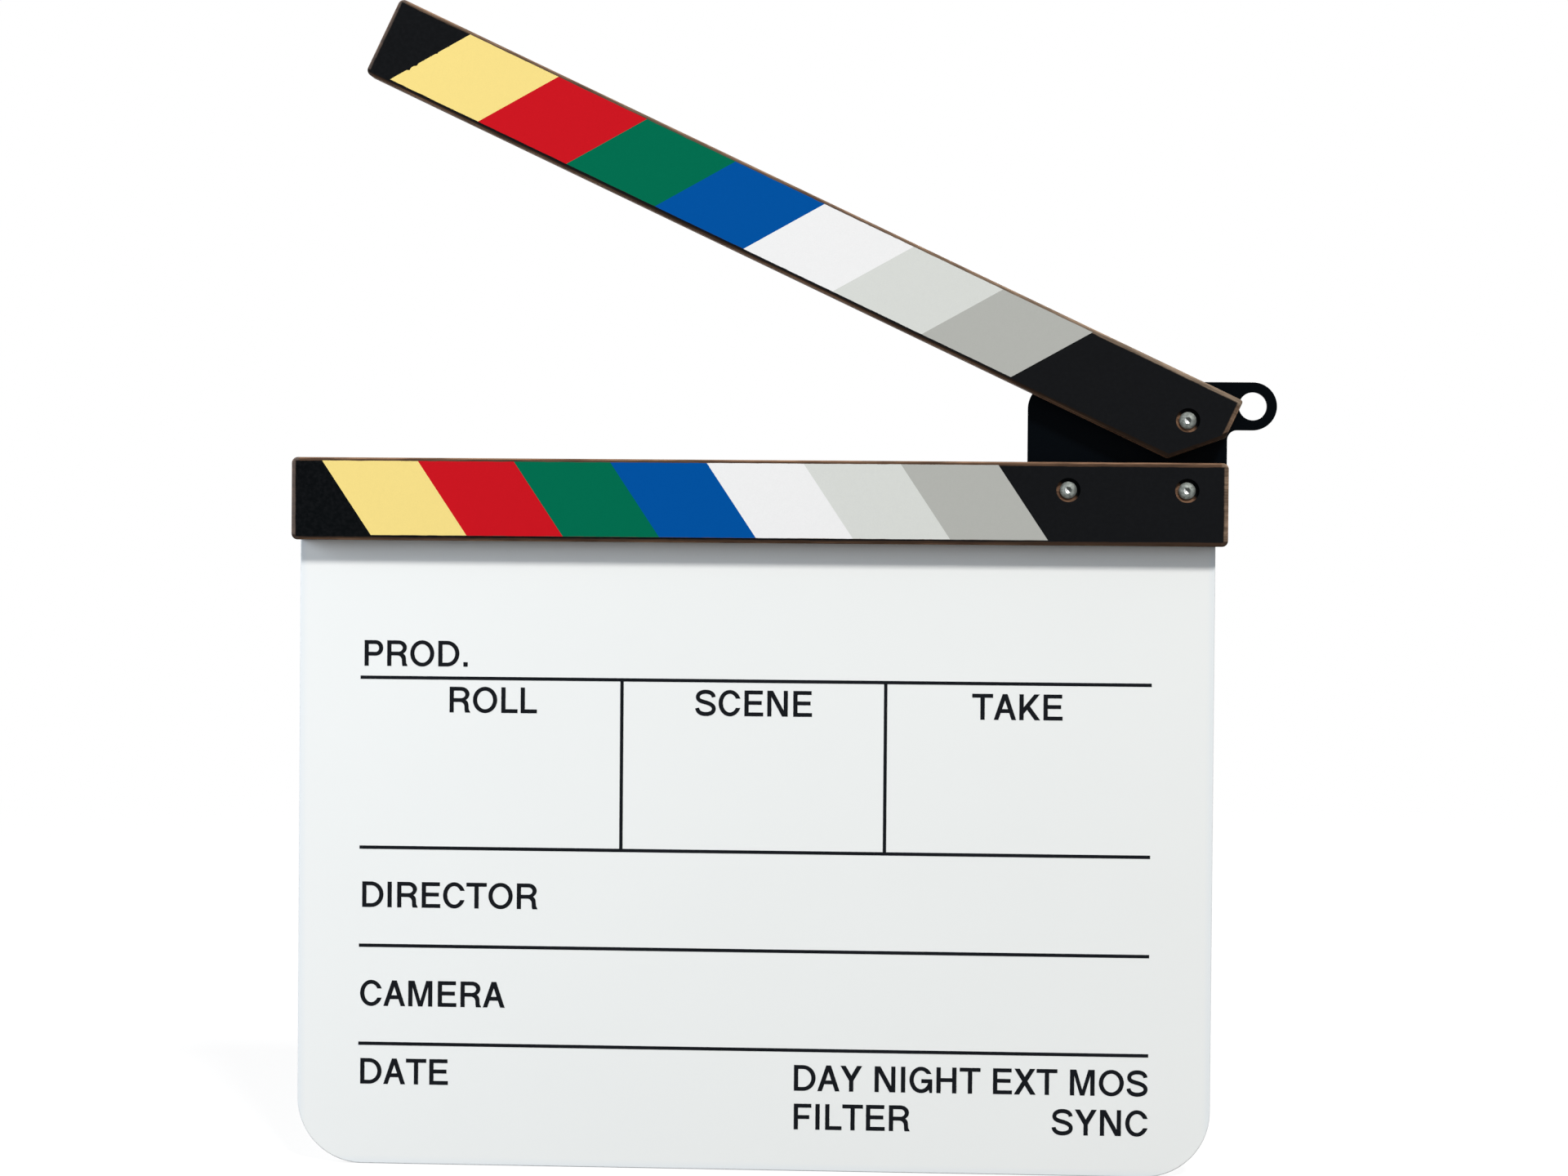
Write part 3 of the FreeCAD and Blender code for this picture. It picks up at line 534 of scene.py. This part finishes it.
def rub_off(finish, film, node, stick):
    """Rub the film off along the stick's edges. The bare wood's tones along the head and the foot are painted
    light and shade.
    """
    low, high = box_of(turned_corners(node, stick["turn"]))
    middle = (low.z + high.z) / 2
    lying = finish.turned(stick["turn"])
    z = finish.split(lying)["Z"]
    patchy = finish.noise(finish.stretch(lying, WEAR_STRETCH), size=6 * MM, detail=5, roughness=0.65)
    reach = finish.ramp(patchy, *WEAR_SPAN, 0.0, WEAR_REACH)
    edge = finish.inset(z, middle, high.z - middle)
    worn = finish.ramp(finish.maths("SUBTRACT", reach, edge), -WEAR_SOFTNESS, WEAR_SOFTNESS)
    # Painted light and shade: the bare wood takes one tone along the head and another along the foot.
    upper_half = finish.maths("GREATER_THAN", z, middle)
    bare_lit_and_shaded = finish.blend(upper_half, shade(WOOD_DARK, stick["rubbed_foot_lighting"]), shade(WOOD_DARK, HEAD_RUBBED_LIGHTING))
    return finish.blend(worn, film, bare_lit_and_shaded)


def torn(finish, node):
    """How much of the film is missing along the node's slanted left edge."""
    corners = turned_corners(node, closing_turn)
    low, high = box_of(corners)
    middle = (low.z + high.z) / 2
    foot = min((corner for corner in corners if corner.z < middle), key=lambda corner: corner.x)
    head = min((corner for corner in corners if corner.z > middle), key=lambda corner: corner.x)
    length = (head - foot).length
    upwards = (head - foot) / length
    inwards = Vector((upwards.z, 0, -upwards.x))
    lying = finish.turned(closing_turn)
    along = finish.past_line(lying, foot, upwards)
    inside = finish.past_line(lying, foot, inwards)
    ragged = finish.maths("SUBTRACT", finish.noise(lying, size=0.8 * MM, detail=3), 0.5)
    reach = 0.0
    for share, half_width, depth in TEARS:
        nearness = finish.inset(along, share * length, half_width)
        reach = finish.maths("MAXIMUM", reach, finish.maths("MULTIPLY", nearness, depth / half_width))
    reach = finish.maths("ADD", reach, finish.maths("MULTIPLY", ragged, TEAR_WANDER))
    return finish.ramp(finish.maths("SUBTRACT", reach, inside), -TEAR_SOFTNESS, TEAR_SOFTNESS)


def patch_finish(node, colour, stick, is_torn=False):
    finish = Finish(node + "_film", Specular_IOR_Level=0.015)
    mottle = finish.noise(finish.place, size=2.2 * MM, detail=3)
    grain = finish.noise(finish.place, size=0.35 * MM)
    cloudy = finish.shades(mottle, colour, darkest=0.97, palest=1.03)
    grainy = finish.shades(grain, colour, darkest=0.92, palest=1.08)
    film = finish.blend(GRAIN_SHARE, cloudy, grainy)
    film = rub_off(finish, film, node, stick)
    if is_torn:
        film = finish.blend(torn(finish, node), film, shade(PAINT_BLACK))
    finish.colour(film)
    finish.roughness(finish.uneven(grain, least=0.4, most=0.55))
    finish.bump(grain, depth=0.01 * MM, strength=0.4)
    return finish.material


# Hinge plate: black powder coat

def plate_finish():
    finish = Finish("plate_black", Specular_IOR_Level=0.02)
    peel = finish.noise(finish.place, size=0.7 * MM)
    finish.colour(finish.shades(peel, PLATE_BLACK, darkest=0.8, palest=1.3))
    finish.roughness(finish.uneven(peel, least=0.36, most=0.5))
    finish.bump(peel, depth=0.02 * MM, strength=0.5)
    return finish.material


# Screws, nuts and washers: dull, spotted zinc with fine tool marks. The front screws have shiny sockets,
# with a painted highlight at the lower left and painted shade at the upper right.

MARK_STRETCH = (1, 8, 1)
SOCKET_REACH = 1.0 * MM
SOCKET_SOFTNESS = 0.1 * MM
# across a socket, the painted highlight turns to painted shade over this span
SOCKET_SPAN = (-0.3 * MM, 0.1 * MM)
SOCKET_PAINTED_SHADE = 0.3
SOCKET_ROUGHNESS = 0.28
ZINC_ROUGHNESS = 0.62


def zinc_finish():
    finish = Finish("screw_steel", Metallic=1.0)
    cloud = finish.noise(finish.place, size=0.9 * MM, detail=4, roughness=0.6)
    marks = finish.noise(finish.stretch(finish.place, MARK_STRETCH), size=0.5 * MM, detail=3)
    metal = finish.shades(finish.uneven(cloud, least=0.0, most=1.0), ZINC, darkest=0.65, palest=1.25)
    in_socket = 0.0
    for axis in LOWER["screws"] + UPPER["screws"]:
        across, up, distance = finish.from_axis(axis)
        inside = finish.ramp(distance, SOCKET_REACH, SOCKET_REACH + SOCKET_SOFTNESS, 1.0, 0.0)
        in_socket = finish.maths("MAXIMUM", in_socket, inside)
        # Painted highlight at each socket's lower left and painted shade at its upper right
        aside = finish.ramp(finish.maths("ADD", across, up), *SOCKET_SPAN)
        socket_lit_and_shaded = finish.blend(aside, shade(SOCKET_PAINTED_HIGHLIGHT), shade(ZINC, SOCKET_PAINTED_SHADE))
        metal = finish.blend(inside, metal, socket_lit_and_shaded)
    finish.colour(metal)
    dull = finish.ramp(in_socket, 0.0, 1.0, ZINC_ROUGHNESS, SOCKET_ROUGHNESS)
    finish.roughness(finish.maths("ADD", dull, finish.uneven(marks, least=0.0, most=0.1)))
    finish.bump(cloud, depth=0.03 * MM, strength=0.4)
    return finish.material


# Nylon of the glide washer and the lock nut's insert

def nylon_finish():
    finish = Finish("nylon", Specular_IOR_Level=0.4)
    cloud = finish.noise(finish.place, size=2 * MM)
    finish.colour(finish.shades(cloud, NYLON, darkest=0.95, palest=1.03))
    finish.roughness(finish.uneven(cloud, least=0.4, most=0.55))
    return finish.material


def paint_nodes(names, material):
    for name in names:
        mesh = nodes[name].data
        mesh.materials.clear()
        mesh.materials.append(material)


ink = ink_finish()
paint_nodes(["slate_board"], acrylic_finish())
paint_nodes(["field_rules"], ink)
paint_nodes(["lower_stick"], stick_finish("lower_stick", LOWER))
paint_nodes(["upper_stick"], stick_finish("upper_stick", UPPER))
paint_nodes(["hinge_plate"], plate_finish())
paint_nodes(["hinge_screws", "hinge_washers", "hinge_nuts", "pivot_screw", "pivot_washer", "pivot_lock_nut",
             "board_screws"], zinc_finish())
paint_nodes(["glide_washer", "lock_nut_insert"], nylon_finish())
for name, colour in PATCH_COLOURS.items():
    lower = "lower_patch_" + name
    upper = "upper_patch_" + name
    paint_nodes([lower], patch_finish(lower, colour, LOWER))
    paint_nodes([upper], patch_finish(upper, colour, UPPER, is_torn=name == "yellow"))


# Plain block capitals for the labels, drawn in shares of their height. A letter is a list of closed
# outlines, its outer one first.

STEM = 0.17
BAR = 0.15
STROKE = 0.158
ROUND_HALF = 0.512
ARC_STEP = 10
CURVE_POINTS = 9


def arc(centre, reach, start, end):
    """Points on an ellipse from one angle to another, in degrees."""
    count = max(2, round(abs(end - start) / ARC_STEP))
    turns = [math.radians(start + (end - start) * i / count) for i in range(count + 1)]
    return [(centre[0] + reach[0] * math.cos(turn), centre[1] + reach[1] * math.sin(turn)) for turn in turns]


def curve(*points):
    """Points on a chain of curves, given as a point, two handles, a point, and so on."""
    chain = [Vector(points[0])]
    for i in range(0, len(points) - 1, 3):
        chain += interpolate_bezier(*[Vector(point) for point in points[i:i + 4]], CURVE_POINTS)[1:]
    return chain


def stroke(spine, thickness):
    """The outline of a band of even thickness along a spine."""
    left, right = [], []
    for i, point in enumerate(spine):
        ahead = spine[min(i + 1, len(spine) - 1)] - spine[max(i - 1, 0)]
        across = Vector((-ahead.y, ahead.x)).normalized() * (thickness / 2)
        left.append(tuple(point + across))
        right.append(tuple(point - across))
    return left + right[::-1]


def angle_at(rise, reach):
    """The angle at which an ellipse of this reach is so far above its centre, in degrees."""
    return math.degrees(math.asin(rise / reach[1]))


def letter_a(width=0.88, foot=0.18, apex=0.19, bar=0.27):
    middle = width / 2
    lean = (width - apex) / 2

    def leg(height):
        return foot + lean * height

    peak = (middle - foot) / lean
    outer = [(0, 0), (foot, 0), (leg(bar), bar), (width - leg(bar), bar), (width - foot, 0), (width, 0),
             (width - lean, 1), (lean, 1)]
    hole = [(leg(bar + BAR), bar + BAR), (width - leg(bar + BAR), bar + BAR), (middle, peak)]
    return [outer, hole]


def letter_c(half=0.45, cut=0.18):
    centre = (half, 0.5)
    outer = (half, ROUND_HALF)
    inner = (half - STEM, ROUND_HALF - BAR)
    start = angle_at(cut, outer)
    end = angle_at(cut, inner)
    return [arc(centre, outer, start, 360 - start) + arc(centre, inner, 360 - end, end)]


def letter_d(width=0.86, straight=0.36):
    centre = (straight, 0.5)
    outer = [(0, 0)] + arc(centre, (width - straight, 0.5), -90, 90) + [(0, 1)]
    inner = arc(centre, (width - straight - STEM, 0.5 - BAR), -90, 90)
    return [outer, [(STEM, BAR)] + inner + [(STEM, 1 - BAR)]]


def letter_e(foot=0.75, middle=0.69, head=0.73, bar=0.445):
    return [[(0, 0), (foot, 0), (foot, BAR), (STEM, BAR), (STEM, bar), (middle, bar), (middle, bar + BAR),
             (STEM, bar + BAR), (STEM, 1 - BAR), (head, 1 - BAR), (head, 1), (0, 1)]]


def letter_f(middle=0.62, head=0.70, bar=0.41):
    return [[(0, 0), (STEM, 0), (STEM, bar), (middle, bar), (middle, bar + BAR), (STEM, bar + BAR),
             (STEM, 1 - BAR), (head, 1 - BAR), (head, 1), (0, 1)]]


def letter_g(half=0.46, right=0.90, ledge=0.47, bar=0.38, spur=0.80, cut=0.235, jaw=312):
    centre = (half, 0.5)
    outer = (half, ROUND_HALF)
    inner = (half - STEM, ROUND_HALF - BAR)
    shelf = [(spur, 0), (right, 0), (right, bar + BAR), (ledge, bar + BAR), (ledge, bar)]
    back = arc(centre, inner, 360 + angle_at(bar - 0.5, inner), angle_at(cut, inner))
    return [arc(centre, outer, angle_at(cut, outer), jaw) + shelf + back]


def letter_h(width=0.79, bar=0.435):
    return [[(0, 0), (STEM, 0), (STEM, bar), (width - STEM, bar), (width - STEM, 0), (width, 0), (width, 1),
             (width - STEM, 1), (width - STEM, bar + BAR), (STEM, bar + BAR), (STEM, 1), (0, 1)]]


def letter_i():
    return [[(0, 0), (STEM, 0), (STEM, 1), (0, 1)]]


def letter_k(width=0.82, top=0.80, arm=0.215, crotch=0.50, leg_rise=1.32):
    arm_rise = (1 - crotch) / (top - arm - STEM)
    low = 1 - (top - STEM) * arm_rise

    def meeting(foot):
        """Where an edge of the leg that starts at this foot meets the arm."""
        x = (leg_rise * foot + arm_rise * STEM - low) / (arm_rise + leg_rise)
        return (x, leg_rise * (foot - x))

    return [[(0, 0), (STEM, 0), (STEM, low), meeting(width - arm), (width - arm, 0), (width, 0),
             meeting(width), (top, 1), (top - arm, 1), (STEM, crotch), (STEM, 1), (0, 1)]]


def letter_l(foot=0.655):
    return [[(0, 0), (foot, 0), (foot, BAR), (STEM, BAR), (STEM, 1), (0, 1)]]


def letter_m(width=0.97, shoulder=0.25, notch=0.22, toe=0.085):
    middle = width / 2
    rise = (1 - notch) / (middle - shoulder)
    fork = (middle - toe - STEM) * rise
    return [[(0, 0), (STEM, 0), (STEM, fork), (middle - toe, 0), (middle + toe, 0), (width - STEM, fork),
             (width - STEM, 0), (width, 0), (width, 1), (width - shoulder, 1), (middle, notch), (shoulder, 1),
             (0, 1)]]


def letter_n(width=0.82, stem=0.165, shoulder=0.225, fork=0.76):
    return [[(0, 0), (stem, 0), (stem, fork), (width - shoulder, 0), (width, 0), (width, 1),
             (width - stem, 1), (width - stem, 1 - fork), (shoulder, 1), (0, 1)]]


def letter_o(width=0.98):
    centre = (width / 2, 0.5)
    outer = arc(centre, (width / 2, ROUND_HALF), 0, 360)[:-1]
    hole = arc(centre, (width / 2 - STEM, ROUND_HALF - BAR), 0, 360)[:-1]
    return [outer, hole]


def letter_p(width=0.76, straight=0.46, bowl=0.395):
    centre = (straight, (1 + bowl) / 2)
    half = (1 - bowl) / 2
    outer = [(0, 0), (STEM, 0), (STEM, bowl)] + arc(centre, (width - straight, half), -90, 90) + [(0, 1)]
    inner = arc(centre, (width - straight - STEM, half - BAR), -90, 90)
    return [outer, [(STEM, bowl + BAR)] + inner + [(STEM, 1 - BAR)]]


def letter_r(bowl=0.41, leg=0.60, knee=0.18, toe=0.83, straight=0.46, reach=0.34, half=0.28, waist=-55):
    bend = arc((leg - knee, bowl - knee), (knee, knee), 90, 0)
    foot = [(leg + 0.005, 0.10), (leg + 0.025, 0), (toe, 0), (toe, 0.02), (toe - 0.055, 0.12)]
    thigh = [tuple(point) for point in curve((0.765, 0.25), (0.765, 0.37), (0.735, 0.43), (0.655, 0.49))][:-1]
    outer = arc((straight, 1 - half), (reach, half), waist, 90)
    inner = arc((straight, (1 + bowl) / 2), (reach - STEM, (1 - bowl) / 2 - BAR), -90, 90)
    return [[(0, 0), (STEM, 0), (STEM, bowl)] + bend + foot + thigh + outer + [(0, 1)],
            [(STEM, bowl + BAR)] + inner + [(STEM, 1 - BAR)]]


def letter_s():
    spine = curve((0.735, 0.725), (0.72, 0.86), (0.60, 0.933), (0.41, 0.933), (0.22, 0.933), (0.098, 0.845),
                  (0.098, 0.725), (0.098, 0.60), (0.25, 0.56), (0.41, 0.52), (0.57, 0.48), (0.745, 0.41),
                  (0.745, 0.275), (0.745, 0.145), (0.61, 0.067), (0.41, 0.067), (0.22, 0.067), (0.085, 0.155),
                  (0.075, 0.30))
    return [stroke(spine, STROKE)]


def letter_t(width=0.82):
    left = (width - STEM) / 2
    return [[(left, 0), (left + STEM, 0), (left + STEM, 1 - BAR), (width, 1 - BAR), (width, 1), (0, 1),
             (0, 1 - BAR), (left, 1 - BAR)]]


def letter_x(width=0.86, foot=0.21, inset=0.02):
    middle = width / 2
    run = width - inset - foot
    waist = (width - foot) / (2 * run)
    return [[(0, 0), (foot, 0), (middle, (middle - foot) / run), (width - foot, 0), (width, 0),
             (width - run * waist, waist), (width - inset, 1), (width - inset - foot, 1),
             (middle, middle / run), (inset + foot, 1), (inset, 1), (run * waist, waist)]]


def letter_y(width=0.86, arm=0.205, fork=0.42):
    middle = width / 2
    left = (width - STEM) / 2
    notch = 1 - (middle - arm) * (1 - fork) / left
    return [[(left, 0), (left + STEM, 0), (left + STEM, fork), (width, 1), (width - arm, 1), (middle, notch),
             (arm, 1), (0, 1), (left, fork)]]


def full_stop(side=0.175):
    return [[(0, 0), (side, 0), (side, side), (0, side)]]


CAPITALS = {
    "A": letter_a(), "C": letter_c(), "D": letter_d(), "E": letter_e(), "F": letter_f(), "G": letter_g(),
    "H": letter_h(), "I": letter_i(), "K": letter_k(), "L": letter_l(), "M": letter_m(), "N": letter_n(),
    "O": letter_o(), "P": letter_p(), "R": letter_r(), "S": letter_s(), "T": letter_t(), "X": letter_x(),
    "Y": letter_y(), ".": full_stop(),
}

# Space beside a letter, by the kind of side that it has there
STRAIGHT_SPACE = 0.11
ROUND_SPACE = 0.055
OPEN_SPACE = 0.015
WORD_SPACE = 0.37


def space_before(letter):
    if letter in "CGOS":
        return ROUND_SPACE
    return OPEN_SPACE if letter in "ATXY" else STRAIGHT_SPACE


def space_after(letter):
    if letter in "CDEFGOPRS":
        return ROUND_SPACE
    return OPEN_SPACE if letter in "AKLTXY" else STRAIGHT_SPACE


def set_line(words):
    """The outlines of each letter on a line, and the line's length."""
    letters = []
    end = 0.0
    for letter in words:
        if letter == " ":
            end += WORD_SPACE
            continue
        start = end + space_before(letter) if letters else 0.0
        letters.append([[(start + x, z) for x, z in outline] for outline in CAPITALS[letter]])
        end = start + max(x for x, z in CAPITALS[letter][0]) + space_after(letter)
    return letters, end - space_after(words[-1])


# Field labels printed on the board. Each has its words, the side of the form that it is measured from,
# its near end's distance from that side, its baseline above the form's foot and its width, all in
# millimetres.

form_low, form_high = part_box("field_rules")
CAP_HEIGHT = 8.45 * MM
LABELS = [
    ("PROD.", "left", 1.3, 125.2, 34.2),
    ("ROLL", "left", 29.6, 110.1, 28.9),
    ("SCENE", "left", 110.7, 109.9, 38.3),
    ("TAKE", "left", 201.3, 109.6, 29.45),
    ("DIRECTOR", "left", 1.0, 45.6, 58.1),
    ("CAMERA", "left", 0.5, 13.0, 48.0),
    ("DATE", "left", 0.7, -12.8, 29.15),
    ("DAY NIGHT EXT MOS", "right", 0.1, -12.75, 115.45),
    ("FILTER", "left", 144.1, -25.45, 38.0),
    ("SYNC", "right", 0.0, -25.8, 31.15),
]


def add_prism(shape, outlines):
    """Add a closed prism as deep as the ink, with these outlines on its front and back."""
    corners = [point for outline in outlines for point in outline]
    front = [shape.verts.new((x, form_low.y, z)) for x, z in corners]
    back = [shape.verts.new((x, form_high.y, z)) for x, z in corners]
    for triangle in tessellate_polygon([[Vector((x, z, 0)) for x, z in outline] for outline in outlines]):
        shape.faces.new([front[i] for i in triangle])
        shape.faces.new([back[i] for i in reversed(triangle)])
    first = 0
    for outline in outlines:
        last = first + len(outline) - 1
        for i in range(first, last + 1):
            after = i + 1 if i < last else first
            shape.faces.new([front[i], front[after], back[after], back[i]])
        first = last + 1


def add_label(words, side, gap, baseline, width):
    letters, length = set_line(words)
    left = form_low.x + gap * MM if side == "left" else form_high.x - (gap + width) * MM
    foot = form_low.z + baseline * MM
    squeeze = width * MM / length
    shape = bmesh.new()
    for outlines in letters:
        placed = [[(left + x * squeeze, foot + z * CAP_HEIGHT) for x, z in outline] for outline in outlines]
        add_prism(shape, placed)
    bmesh.ops.recalc_face_normals(shape, faces=shape.faces)
    name = "label_" + "_".join(words.replace(".", "").lower().split())
    mesh = bpy.data.meshes.new(name)
    shape.to_mesh(mesh)
    shape.free()
    mesh.materials.append(ink)
    label = bpy.data.objects.new(name, mesh)
    bpy.context.scene.collection.objects.link(label)
    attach(label, "slate")


for label in LABELS:
    add_label(*label)


# Stage: a pale floor that reads as white and keeps the object's shadow

def floor_finish():
    material = bpy.data.materials.new("stage_floor")
    material.use_nodes = True
    material.node_tree.nodes.clear()
    floor = Nodes(material.node_tree)
    seen = floor.seen_directly()
    pale = floor.add("BsdfDiffuse", {"Color": floor.blend(seen, FLOOR_BOUNCE, FLOOR_PALE)})
    glow = floor.add("Emission", {"Color": WHITE})
    place = floor.add("NewGeometry", {}).outputs["Position"]
    distance = floor.add("VectorMath", {0: place}, operation="LENGTH").outputs["Value"]
    share = floor.maths("MULTIPLY", seen, floor.ramp(distance, *FLOOR_FADE, FLOOR_GLOW, 1.0))
    both = floor.add("MixShader", {0: share, 1: pale.outputs[0], 2: glow.outputs[0]})
    floor.add("OutputMaterial", {"Surface": both.outputs[0]})
    return material


def add_floor():
    reach = FLOOR_SIZE / 2
    level = cad_box[0].z
    corners = [(-reach, -reach, level), (reach, -reach, level), (reach, reach, level), (-reach, reach, level)]
    mesh = bpy.data.meshes.new("floor")
    mesh.from_pydata(corners, [], [(0, 1, 2, 3)])
    mesh.materials.append(floor_finish())
    floor = bpy.data.objects.new("floor", mesh)
    bpy.context.scene.collection.objects.link(floor)


def add_room():
    world = bpy.data.worlds.new("room")
    world.use_nodes = True
    bpy.context.scene.world = world
    room = Nodes(world.node_tree)
    direction = room.add("TexCoord", {}).outputs["Generated"]
    towards = room.split(direction)
    front = room.blend(room.ramp(towards["Z"], *ROOM_RISE), ROOM_LOW, ROOM_HIGH)
    light = room.blend(room.ramp(towards["Y"], *ROOM_TURN), front, ROOM_BACK)
    background = world.node_tree.nodes["Background"]
    room.feed(background.inputs["Color"], room.blend(room.seen_directly(), light, WHITE))


def add_lamp(name, place, width, strength, colour):
    """Add a round lamp that faces the middle of the board."""
    middle = sum(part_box("slate_board"), Vector()) / 2
    away = Vector(place) - middle
    lamp = bpy.data.lights.new(name, "AREA")
    lamp.shape = "DISK"
    lamp.size = width
    lamp.energy = strength * math.pi * away.length_squared
    lamp.color = colour
    holder = bpy.data.objects.new(name, lamp)
    holder.location = place
    holder.rotation_mode = "QUATERNION"
    holder.rotation_quaternion = away.to_track_quat("Z", "Y")
    holder.visible_camera = False
    bpy.context.scene.collection.objects.link(holder)


def add_camera():
    data = bpy.data.cameras.new("camera")
    data.sensor_width = SENSOR_WIDTH
    data.lens = FOCAL_SHARE * SENSOR_WIDTH
    camera = bpy.data.objects.new("camera", data)
    heading = Matrix.Rotation(-CAMERA_YAW, 4, "Z")
    tilt = Matrix.Rotation(math.radians(90) + CAMERA_PITCH, 4, "X")
    roll = Matrix.Rotation(CAMERA_ROLL, 4, "Z")
    camera.matrix_world = Matrix.Translation(CAMERA_PLACE) @ heading @ tilt @ roll
    bpy.context.scene.collection.objects.link(camera)
    bpy.context.scene.camera = camera


add_floor()
add_room()
add_lamp("key", KEY_PLACE, KEY_WIDTH, KEY_STRENGTH, KEY_COLOUR)
add_lamp("fill", FILL_PLACE, FILL_WIDTH, FILL_STRENGTH, FILL_COLOUR)
add_lamp("back", BACK_PLACE, BACK_WIDTH, BACK_STRENGTH, BACK_COLOUR)
add_camera()
bpy.context.scene.view_settings.view_transform = "Standard"
